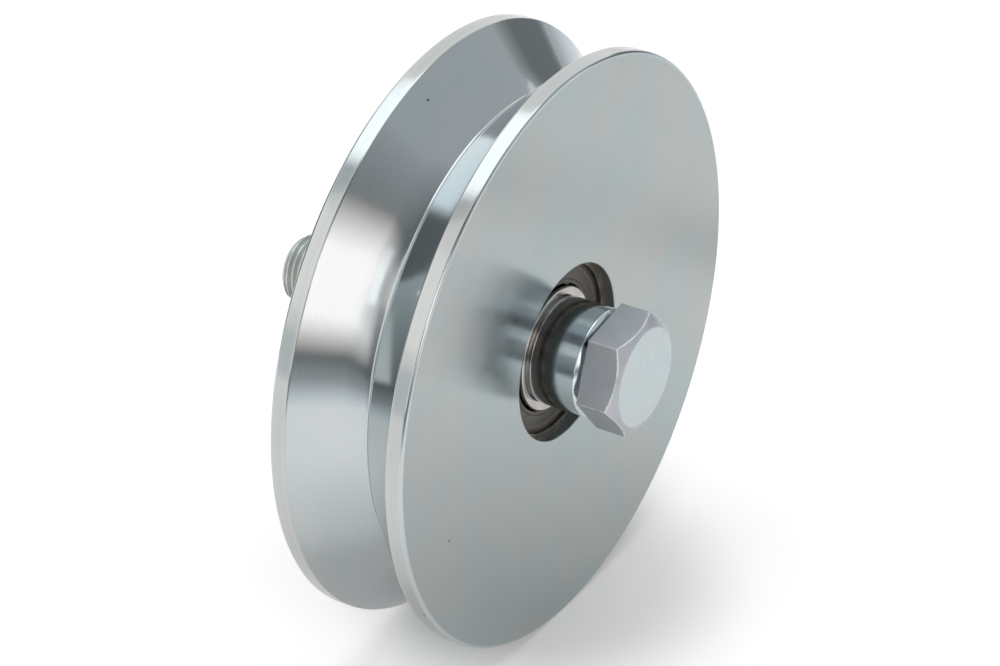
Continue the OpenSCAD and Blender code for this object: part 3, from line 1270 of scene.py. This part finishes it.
    def build(self) -> list[bpy.types.Object]:
        """Builds the rings, seals and balls, and dresses the cage.

        Returns:
            The finished pieces.
        """
        label = self.side.label
        cage = f"{label}_cage"
        outward = self.seal() if self.side is Side.FRONT else self.seal().flipped()
        inward = outward.flipped()
        pieces = [
            finish_piece(f"{label}_outer_race", self.outer_ring().moved(self.middle).solid(), Body.WHEEL,
                         "bearing_steel", (OILED_AND_SHADED_STEEL,), f"{label}_outer_ring"),
            finish_piece(f"{label}_inner_race", self.inner_ring().moved(self.middle).solid(), Body.AXLE,
                         "bearing_steel", (RING_STEEL,), f"{label}_inner_ring"),
            finish_piece(f"{label}_face_seal", outward.moved(self.middle).solid(), Body.WHEEL,
                         "seal_rubber", (SEAL_RUBBER,), f"{label}_outer_seal"),
            finish_piece(f"{label}_back_seal", inward.moved(self.middle).solid(), Body.WHEEL,
                         "seal_rubber", (SEAL_RUBBER,), f"{label}_inner_seal"),
            finish_piece(f"{label}_ball_set", self.ball_set(), cage,
                         "ball_steel", (BALL_STEEL,), f"{label}_balls"),
        ]
        for node in ("cage_outer", "cage_inner", "cage_rivets"):
            dress_node(f"{label}_{node}", CAGE_STEEL)
        return pieces


def dress_node(node: str, finish: Finish) -> None:
    """Gives a node of the frame a finish in place of its plain one.

    Args:
        node: Name of the node.
        finish: Its new finish.
    """
    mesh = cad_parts[node].data
    mesh.materials.clear()
    mesh.materials.append(finish.material())
    LOG.info("%s: kept, dressed in %s", node, finish.name)


@dataclass(frozen=True)
class SnapRing:
    """Circlip that keeps the bearings in the wheel.

    Args:
        edge: Rounding of its stamped edges.
        flat_angle: Angle up to which neighbouring facets become one face.
        keen_angle: Angle from which an edge is rounded.
    """

    edge: float = 0.14 * MM
    flat_angle: float = math.radians(0.5)
    keen_angle: float = math.radians(60.0)

    def build(self) -> bpy.types.Object:
        """Builds the circlip from its node with softened edges.

        Returns:
            The finished circlip.
        """
        bm = bmesh.new()
        bm.from_mesh(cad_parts["circlip"].data)
        bmesh.ops.remove_doubles(bm, verts=bm.verts, dist=LOOSE_DISTANCE)
        bmesh.ops.dissolve_limit(bm, angle_limit=self.flat_angle, verts=bm.verts, edges=bm.edges)
        keen = [edge for edge in bm.edges if edge.is_manifold and edge.calc_face_angle() > self.keen_angle]
        bmesh.ops.bevel(bm, geom=keen, offset=self.edge, segments=2, profile=0.5, affect="EDGES",
                        material=-1, clamp_overlap=True)
        return finish_piece("snap_ring", closed(bm), Body.WHEEL, "spring_steel", (SPRING_STEEL,), "circlip")


@dataclass(frozen=True)
class Direction:
    """Direction from the wheel's centre.

    Args:
        azimuth: Degrees from straight in front of the wheel's face, towards +X.
        elevation: Degrees above the horizon.
    """

    azimuth: float
    elevation: float

    def vector(self) -> Vector:
        """The direction as a unit vector."""
        azimuth, elevation = math.radians(self.azimuth), math.radians(self.elevation)
        flat = math.cos(elevation)
        return Vector((flat * math.sin(azimuth), -flat * math.cos(azimuth), math.sin(elevation)))


@dataclass(frozen=True)
class OverheadBox:
    """Soft lamp that hangs over the wheel and looks straight down, mirrored only through its card.

    Args:
        name: Name of the lamp.
        place: Its middle.
        width: Its size along X.
        depth: Its size along Y.
        radiance: How bright its face looks, where 1 is white.
    """

    name: str
    place: Point
    width: float
    depth: float
    radiance: float

    def build(self) -> bpy.types.Object:
        """Hangs the lamp.

        Returns:
            The lamp.
        """
        lamp = bpy.data.lights.new(self.name, "AREA")
        lamp.shape = "RECTANGLE"
        lamp.size = self.width
        lamp.size_y = self.depth
        lamp.energy = math.pi * self.width * self.depth * self.radiance
        holder = bpy.data.objects.new(self.name, lamp)
        holder.matrix_world = Matrix.Translation(self.place)
        holder.visible_camera = False
        holder.visible_glossy = False
        bpy.context.scene.collection.objects.link(holder)
        return holder


def facing(direction: Direction, distance: float) -> Matrix:
    """Place of something that looks at the wheel's centre.

    Args:
        direction: Where it stands.
        distance: How far away it is.

    Returns:
        A matrix whose -Z axis points at the wheel and whose X axis points right in front of its face.
    """
    away = direction.vector()
    turn = (-away).to_track_quat("-Z", "Y").to_matrix().to_4x4()
    return Matrix.Translation(away * distance) @ turn


@dataclass(frozen=True)
class Span:
    """Stretch of a card in one direction, with a soft border at each end.

    Args:
        low: Where it starts.
        high: Where it ends.
        low_border: Width of the border at the start.
        high_border: Width of the border at the end.
    """

    low: float
    high: float
    low_border: float = 0.0
    high_border: float = 0.0

    def place(self, step: int) -> float:
        """Place of the first edge, the two inner lines or the last edge, counted from 0 to 3."""
        third = (self.high - self.low) / CARD_CELLS
        lines = self.low + (self.low_border or third), self.high - (self.high_border or third)
        return (self.low, *lines, self.high)[step]

    def inside(self, step: int) -> bool:
        """Whether a step belongs to the full stretch instead of a soft border's edge."""
        return step in (1, 2) or (step == 0 and not self.low_border) or (step == 3 and not self.high_border)


@dataclass(frozen=True)
class Card:
    """Plain card that mirror-like surfaces see, such as a wall, a dark ceiling or a soft box.

    Args:
        name: Name of the card.
        direction: Where its plane stands, square to the line to the wheel.
        distance: How far away the plane is.
        across: Its stretch in the plane to the right.
        upward: Its stretch in the plane upwards.
        left: How light its left side looks, where 1 is white.
        right: How light its right side looks.
        border: How light the edges of its soft borders look.
        foot: Share of its light that is left at its lower edge.
        lights: Whether it also lights matt surfaces.
        tint: Its colour.
    """

    name: str
    direction: Direction
    distance: float
    across: Span
    upward: Span
    left: float
    right: float
    border: float = 0.0
    foot: float = 1.0
    lights: bool = False
    tint: Colour = COOL_GREY

    def build(self) -> bpy.types.Object:
        """Stands the card up.

        Returns:
            The card.
        """
        bm = bmesh.new()
        shade = bm.verts.layers.float_color.new(SHADE)
        half = CARD_CELLS / 2.0
        bmesh.ops.create_grid(bm, x_segments=CARD_CELLS, y_segments=CARD_CELLS, size=half)
        for vert in bm.verts:
            column, row = round(vert.co.x + half), round(vert.co.y + half)
            grey = self.left + (self.right - self.left) * column / CARD_CELLS
            grey *= self.foot + (1.0 - self.foot) * row / CARD_CELLS
            if not (self.across.inside(column) and self.upward.inside(row)):
                grey = self.border
            vert[shade] = (*(grey * share for share in self.tint), 1.0)
            vert.co = Vector((self.across.place(column), self.upward.place(row), 0.0))
        bmesh.ops.transform(bm, matrix=facing(self.direction, self.distance), verts=bm.verts)
        return shaded_card(self.name, bm, self.lights)


def shaded_card(name: str, bm: BMesh, lights: bool) -> bpy.types.Object:
    """Makes a stage card that shines with its vertices' shades and that the camera doesn't see.

    Args:
        name: Name of the card.
        bm: The card's mesh with its shades, which is freed.
        lights: Whether it lights matt surfaces as well as showing in reflections.

    Returns:
        The card.
    """
    mesh = bpy.data.meshes.new(name)
    bm.to_mesh(mesh)
    bm.free()
    sheet = NodeSheet(name)
    shade = sheet.add("ShaderNodeAttribute", attribute_name=SHADE)
    sheet.shade("Base Color", (0.0, 0.0, 0.0, 1.0))
    sheet.shade("Specular IOR Level", 0.0)
    sheet.shade("Emission Strength", 1.0)
    sheet.shade("Emission Color", shade.outputs["Color"])
    mesh.materials.append(sheet.material)
    card = bpy.data.objects.new(name, mesh)
    bpy.context.scene.collection.objects.link(card)
    card.visible_camera = False
    card.visible_diffuse = lights
    card.visible_shadow = False
    card.visible_transmission = False
    return card


@dataclass(frozen=True)
class ArcCard:
    """Ring-shaped card around the Z axis or the axle, which only reflections show.

    Args:
        name: Name of the card.
        axis: Axis that it goes around.
        along: Its place along the axis.
        start: Direction of its first edge, square to the axis.
        sweep: Degrees that it goes around.
        rings: Distances from the axis, and how light the card looks there.
        steps: Facets along it.
    """

    name: str
    axis: Point
    along: float
    start: Direction
    sweep: float
    rings: tuple[tuple[float, float], ...]
    steps: int = 32

    def build(self) -> bpy.types.Object:
        """Lays the card.

        Returns:
            The card.
        """
        bm = bmesh.new()
        shade = bm.verts.layers.float_color.new(SHADE)
        axis, outward = Vector(self.axis), self.start.vector()
        verts = []
        for reach, grey in self.rings:
            verts.append(bm.verts.new(outward * reach + axis * self.along))
            verts[-1][shade] = (*(grey * share for share in COOL_GREY), 1.0)
        edges = [bm.edges.new(pair) for pair in zip(verts, verts[1:])]
        bmesh.ops.spin(bm, geom=[*verts, *edges], cent=ORIGIN, axis=axis,
                       angle=math.radians(self.sweep), steps=self.steps)
        return shaded_card(self.name, bm, lights=False)


FRONT_LEFT = Direction(-40.0, 18.0)
# Just short of straight up, because exactly there a card's plane would be turned half around
OVERHEAD = Direction(0.0, 89.9)


@dataclass(frozen=True)
class Glow:
    """Light that the floor adds, more of it farther away from a point.

    Args:
        middle: The point's X and Y.
        start: Distance from the point at which the light starts to grow.
        end: Distance at which it is full.
        near: The light at the point, where 1 is white.
        far: The full light.
    """

    middle: tuple[float, float]
    start: float
    end: float
    near: float
    far: float

    def socket(self, sheet: NodeSheet) -> bpy.types.NodeSocket:
        """The light's value at the shaded point.

        Args:
            sheet: Node tree that gets the nodes.

        Returns:
            The value's socket.
        """
        offset = (-self.middle[0], -self.middle[1], 0.0)
        away = sheet.vector("MULTIPLY_ADD", sheet.place, ACROSS_FLOOR, offset)
        length = sheet.vector("LENGTH", away.outputs["Vector"])
        return sheet.ramp(length.outputs["Value"], (self.start, self.end), (self.near, self.far))


@dataclass(frozen=True)
class Studio:
    """Pale floor, soft lamp, cards and white surroundings.

    Args:
        floor: Height of the floor.
        floor_size: Side of the floor.
        floor_white: Colour of the floor.
        seen_glow: Light that the floor adds for the camera, weaker near the wheel, which paints a deeper
            contact shadow.
        mirrored_glow: Light that it adds for reflections, also weaker near the wheel as painted shadow.
        far_glow: Light that it adds for both, where the lamp no longer reaches.
        crease: Place along X of a soft grey band of painted shade in the floor's glow, which only
            reflections show.
        crease_half: Half of the band's width.
        crease_shade: How much darker the floor looks there in reflections.
        sky_light: Strength of the white surroundings as light on matt surfaces.
        table_lift: Height of the dark table's card above the floor.
        lamp: The lamp.
        cards: Walls, ceiling and soft boxes.
        strip: Bright strip that only the bush mirrors.
        glint: Narrow bright strip that crosses the groove.
        front_table: How light the table in front looks at distances from the axle's middle.
        right_table: How light the table on the right looks.
    """

    floor: float
    floor_size: float = 8.0
    floor_white: float = 0.9
    # The glows are weaker near the wheel: painted contact shadow on the floor, for the camera and in
    # reflections.
    seen_glow: Glow = Glow((6.0 * MM, -8.0 * MM), 24.0 * MM, 54.0 * MM, 0.155, 0.42)
    mirrored_glow: Glow = Glow((-20.0 * MM, -10.0 * MM), 20.0 * MM, 150.0 * MM, 0.155, 0.37)
    far_glow: Glow = Glow((0.0, 0.0), 120.0 * MM, 900.0 * MM, 0.0, 0.2)
    # A band of painted shade on the floor that only reflections show, which darkens a wedge of the wheel's
    # face.
    crease: float = 163.0 * MM
    crease_half: float = 24.0 * MM
    crease_shade: float = 0.24
    sky_light: float = 0.34
    table_lift: float = 1.0 * MM
    lamp: OverheadBox = OverheadBox("overhead_box", (0.072, 0.025, 0.5), 0.335, 0.55, 2.4)
    cards: tuple[Card, ...] = (
        Card("overhead_card", OVERHEAD, 0.501, Span(-0.15, 0.25, 0.055), Span(-0.215, 0.3, 0.03),
             1.9, 1.9, 0.3, foot=0.8),
        Card("soft_box_card", FRONT_LEFT, 0.55, Span(-0.11, 0.265, 0.07), Span(-0.185, 0.225, 0.105, 0.135),
             1.58, 1.58, border=0.25, lights=True, tint=WARM_WHITE),
        Card("left_wall_card", FRONT_LEFT, 0.56, Span(-0.33, -0.07), Span(-0.22, 0.29), 0.7, 0.75, foot=0.2),
        Card("dark_ceiling_card", FRONT_LEFT, 0.6, Span(-0.36, 0.19), Span(0.2, 1.0), 0.2, 0.25),
        Card("grey_corner_card", FRONT_LEFT, 0.6, Span(0.19, 0.62), Span(-0.16, 1.0), 0.26, 0.5),
        Card("grey_wall_card", Direction(48.0, 30.0), 1.2, Span(-0.75, 0.62), Span(-0.36, 0.62), 0.52, 0.55),
        Card("low_wall_card", Direction(80.0, 3.0), 1.15, Span(-0.55, 0.35), Span(-0.12, 0.3, 0.05, 0.12),
             0.22, 0.22, border=0.45),
        Card("bright_wall_card", Direction(-135.0, 38.0), 1.0, Span(-0.6, 0.6), Span(-0.35, 0.2), 1.17, 1.17,
             lights=True, tint=PLAIN_WHITE),
        Card("left_gap_card", Direction(-116.0, 2.0), 1.1, Span(-0.3, 0.3), Span(-0.25, 0.2), 0.78, 0.78),
        Card("dim_back_card", Direction(-172.0, 14.0), 0.7, Span(-0.34, 0.36), Span(-0.3, 0.32), 0.25, 0.25),
        Card("dim_gap_card", Direction(-153.0, 57.0), 1.0, Span(-0.17, 0.12), Span(-0.11, 0.11), 0.65, 0.65),
    )
    strip: ArcCard = ArcCard("bush_strip_card", (0.0, -1.0, 0.0), 0.133, Direction(-90.0, 54.0), 24.0,
                             ((0.245, 2.2), (0.3, 2.2)))
    glint: ArcCard = ArcCard("glint_card", (0.0, -1.0, 0.0), 0.134, Direction(-90.0, 40.8), 1.2,
                             ((0.303, 3.2), (0.34, 3.2)))
    front_table: tuple[tuple[float, float], ...] = (
        (0.3, 1.0), (0.4, 0.7), (0.52, 0.42), (0.8, 0.32), (1.4, 0.17), (3.0, 0.15))
    right_table: tuple[tuple[float, float], ...] = ((0.3, 0.93), (0.55, 0.8), (0.78, 0.65), (1.2, 0.5))

    @classmethod
    def from_frame(cls) -> "Studio":
        """Studio whose floor carries the wheel's rim."""
        return cls(floor=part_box("wheel")[0].z)

    def build(self) -> None:
        """Builds everything around the object."""
        self._floor()
        self._surroundings()
        self.lamp.build()
        cards = (*self.cards, self.strip, self.glint, *self._tables())
        for card in cards:
            card.build()
        LOG.info("studio: a lamp and %d cards", len(cards))

    def _floor(self) -> None:
        """Lays the pale floor, which keeps the object's cast shadow and paints a deeper shadow near the
        wheel, where its glow is weaker.
        """
        bm = bmesh.new()
        bmesh.ops.create_grid(bm, x_segments=1, y_segments=1, size=self.floor_size / 2.0)
        bmesh.ops.translate(bm, vec=(0.0, 0.0, self.floor), verts=bm.verts)
        mesh = bpy.data.meshes.new("pale_floor")
        bm.to_mesh(mesh)
        bm.free()
        sheet = NodeSheet("pale_floor")
        path = sheet.add("ShaderNodeLightPath")
        other = sheet.math("SUBTRACT", seen_rays(sheet.tree), path.outputs["Is Camera Ray"])
        seen = sheet.math("MULTIPLY", path.outputs["Is Camera Ray"], self.seen_glow.socket(sheet))
        mirrored = sheet.math("SUBTRACT", self.mirrored_glow.socket(sheet), self._crease(sheet))
        close = sheet.math("MULTIPLY_ADD", other, mirrored, seen)
        glow = sheet.math("ADD", self.far_glow.socket(sheet), close)
        sheet.shade("Base Color", (self.floor_white,) * 3 + (1.0,))
        sheet.shade("Roughness", 1.0)
        sheet.shade("Specular IOR Level", 0.0)
        sheet.shade("Emission Color", (1.0, 1.0, 1.0, 1.0))
        sheet.shade("Emission Strength", sheet.math("MULTIPLY", seen_rays(sheet.tree), glow))
        mesh.materials.append(sheet.material)
        floor = bpy.data.objects.new("pale_floor", mesh)
        bpy.context.scene.collection.objects.link(floor)

    def _crease(self, sheet: NodeSheet) -> bpy.types.NodeSocket:
        """Painted shade of the soft band across the floor, taken from the glow that reflections see."""
        split = sheet.add("ShaderNodeSeparateXYZ")
        sheet.join(sheet.place, split.inputs["Vector"])
        away = sheet.math("ABSOLUTE", sheet.math("SUBTRACT", split.outputs["X"], self.crease))
        return sheet.ramp(away, (0.0, self.crease_half), (self.crease_shade, 0.0))

    def _tables(self) -> tuple[ArcCard, ArcCard]:
        """The darker table beyond the pale floor in front and on the right, as reflections show it."""
        axis, height = (0.0, 0.0, 1.0), self.floor + self.table_lift
        return (ArcCard("dark_table_card", axis, height, Direction(-95.0, 0.0), 87.0, self.front_table),
                ArcCard("right_table_card", axis, height, Direction(55.0, 0.0), 50.0, self.right_table))

    def _surroundings(self) -> None:
        """Surrounds the scene with white that lights matt surfaces more softly."""
        world = bpy.data.worlds.new("white_surroundings")
        world.use_nodes = True
        tree = world.node_tree
        background = tree.nodes["Background"]
        background.inputs["Color"].default_value = (1.0, 1.0, 1.0, 1.0)
        strength = tree.nodes.new("ShaderNodeMapRange")
        strength.inputs["To Min"].default_value = self.sky_light
        tree.links.new(seen_rays(tree), strength.inputs["Value"])
        tree.links.new(strength.outputs["Result"], background.inputs["Strength"])
        bpy.context.scene.world = world


def seen_rays(tree: bpy.types.NodeTree) -> bpy.types.NodeSocket:
    """Value that is 1 for camera, glossy and transmission rays and 0 for others.

    Args:
        tree: Node tree that gets the nodes.

    Returns:
        The value's socket.
    """
    path = tree.nodes.new("ShaderNodeLightPath")
    value = path.outputs["Is Camera Ray"]
    for name in ("Is Glossy Ray", "Is Transmission Ray"):
        larger = tree.nodes.new("ShaderNodeMath")
        larger.operation = "MAXIMUM"
        tree.links.new(value, larger.inputs[0])
        tree.links.new(path.outputs[name], larger.inputs[1])
        value = larger.outputs[0]
    return value


@dataclass(frozen=True)
class PhotoCamera:
    """Camera at the photograph's viewing angle.

    Args:
        view: Where the camera stands.
        distance: Distance from the camera to the point that it aims at.
        aim_right: The aimed point right of the wheel's centre, in the picture.
        aim_up: The aimed point above that centre.
        lens: Focal length in millimetres.
        sensor: Sensor width in millimetres.
        clip: Nearest and farthest distance that it sees.
    """

    view: Direction = Direction(-58.53, 31.66)
    distance: float = 1.1397
    aim_right: float = -0.763 * MM
    aim_up: float = -0.301 * MM
    lens: float = 181.1
    sensor: float = 36.0
    clip: tuple[float, float] = (0.05, 50.0)

    def build(self) -> bpy.types.Object:
        """Stands the camera up and makes it the scene's own.

        Returns:
            The camera.
        """
        data = bpy.data.cameras.new("photo_camera")
        data.lens = self.lens
        data.sensor_width = self.sensor
        data.clip_start, data.clip_end = self.clip
        camera = bpy.data.objects.new("photo_camera", data)
        back = self.view.vector()
        turn = (-back).to_track_quat("-Z", "Y").to_matrix()
        aim = turn.col[0] * self.aim_right + turn.col[1] * self.aim_up
        camera.matrix_world = Matrix.Translation(aim + back * self.distance) @ turn.to_4x4()
        bpy.context.scene.collection.objects.link(camera)
        bpy.context.scene.camera = camera
        return camera


def main() -> None:
    """Builds the wheel, its bearings, the axle and the studio in order."""
    logging.basicConfig(level=logging.INFO, format="%(message)s")
    bpy.context.scene.view_settings.view_transform = "Standard"
    PhotoCamera().build()
    GrooveWheel.from_frame().build()
    for side in Side:
        BallBearing.from_frame(side).build()
        CollarBush.from_frame(side).build()
    SnapRing().build()
    AxleBolt.from_frame().build()
    AxleNut.from_frame().build()
    Studio.from_frame().build()


if __name__ == "__main__":
    main()
